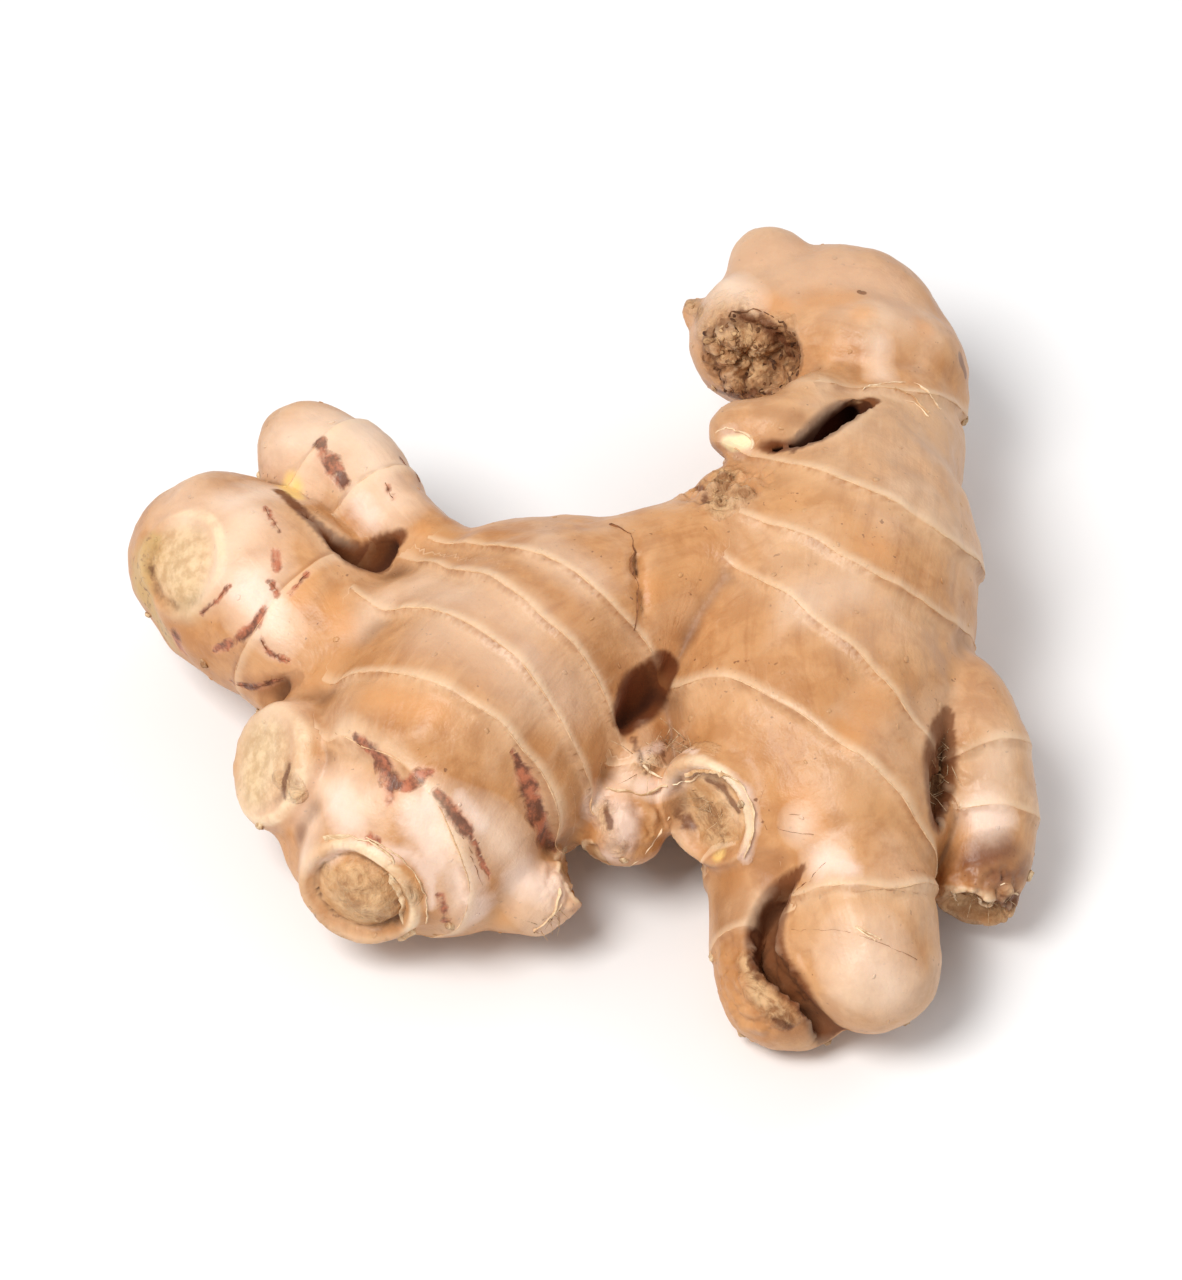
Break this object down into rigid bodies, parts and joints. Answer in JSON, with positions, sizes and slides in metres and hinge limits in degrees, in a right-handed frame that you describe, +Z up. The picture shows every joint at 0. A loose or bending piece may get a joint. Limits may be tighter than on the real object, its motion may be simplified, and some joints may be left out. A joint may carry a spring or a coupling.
{
  "type": "ginger root",
  "caption": "Fresh ginger rhizome lying on its flat side: a thick trunk with a knobbly head and foot, and a broad arm with short fingers, some broken off flat.",
  "frame": {"origin": "on the surface that the root rests on, under the middle of its bounding box", "axes": "+Z up from the resting surface; +Y along the trunk from the foot to the head, the root's greatest length; +X from the arm's fingers towards the side knob"},
  "size_m": [0.1276, 0.132, 0.0425],
  "materials": {
    "ginger_skin": "satin"
  },
  "bodies": {
    "root": {"ginger_root": "ginger_skin"}
  },
  "joints": []
}
